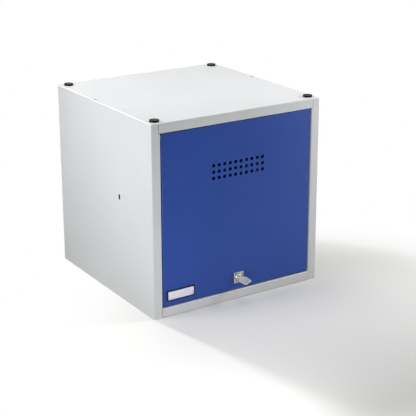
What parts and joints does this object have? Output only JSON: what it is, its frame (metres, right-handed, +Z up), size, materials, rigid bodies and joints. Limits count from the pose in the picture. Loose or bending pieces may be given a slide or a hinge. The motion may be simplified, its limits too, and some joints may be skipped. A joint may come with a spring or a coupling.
{
  "type": "cube locker",
  "caption": "Stackable cube locker in light grey folded steel with a blue lift-up flap, vent holes, a label holder and a cam lock with its key.",
  "frame": {"origin": "on the floor, at the middle of the whole object's footprint with the key in its lock", "axes": "+Z up, the front with the flap towards -Y, +X to the right of someone who faces the front"},
  "size_m": [0.45, 0.4932, 0.4545],
  "materials": {
    "body_paint": "light grey powder coat, satin",
    "door_paint": "gentian blue powder coat, satin",
    "knob_plastic": "black moulded",
    "rubber": "black",
    "zinc_steel": "zinc plated",
    "nickel": "nickel plated, bright",
    "nylon": "natural nylon",
    "label_plastic": "black moulded",
    "card": "blank white card",
    "clear_plastic": "clear sheet"
  },
  "bodies": {
    "carcass": {"carcass_wrapper": "body_paint", "floor_pan": "body_paint", "rear_panel": "body_paint", "hinge_bracket_left": "zinc_steel", "hinge_bracket_right": "zinc_steel", "hinge_pin_left": "zinc_steel", "hinge_pin_right": "zinc_steel", "stacking_knob_front_left": "knob_plastic", "stacking_knob_front_right": "knob_plastic", "stacking_knob_rear_left": "knob_plastic", "stacking_knob_rear_right": "knob_plastic", "door_buffer_left": "rubber", "door_buffer_right": "rubber"},
    "flap": {"door_panel": "door_paint", "hinge_bush_left": "nylon", "hinge_bush_right": "nylon", "label_frame": "label_plastic", "label_card": "card", "label_window": "clear_plastic", "lock_housing": "nickel", "lock_nut": "zinc_steel"},
    "plug": {"lock_plug": "nickel", "lock_stop_washer": "zinc_steel", "lock_cam": "zinc_steel", "cam_screw": "zinc_steel"},
    "key": {"key": "nickel"}
  },
  "joints": [
    {"name": "flap_hinge", "type": "hinge", "parent": "carcass", "child": "flap", "pos_m": [0, -0.19685, 0.417], "axis": [-1, 0, 0], "range_deg": [0, 115]},
    {"name": "lock_turn", "type": "hinge", "parent": "flap", "child": "plug", "pos_m": [0, -0.20835, 0.054], "axis": [0, 1, 0], "range_deg": [-70, 20]},
    {"name": "key_slide", "type": "slide", "parent": "plug", "child": "key", "axis": [0, -1, 0], "range_m": [0, 0.03]}
  ]
}
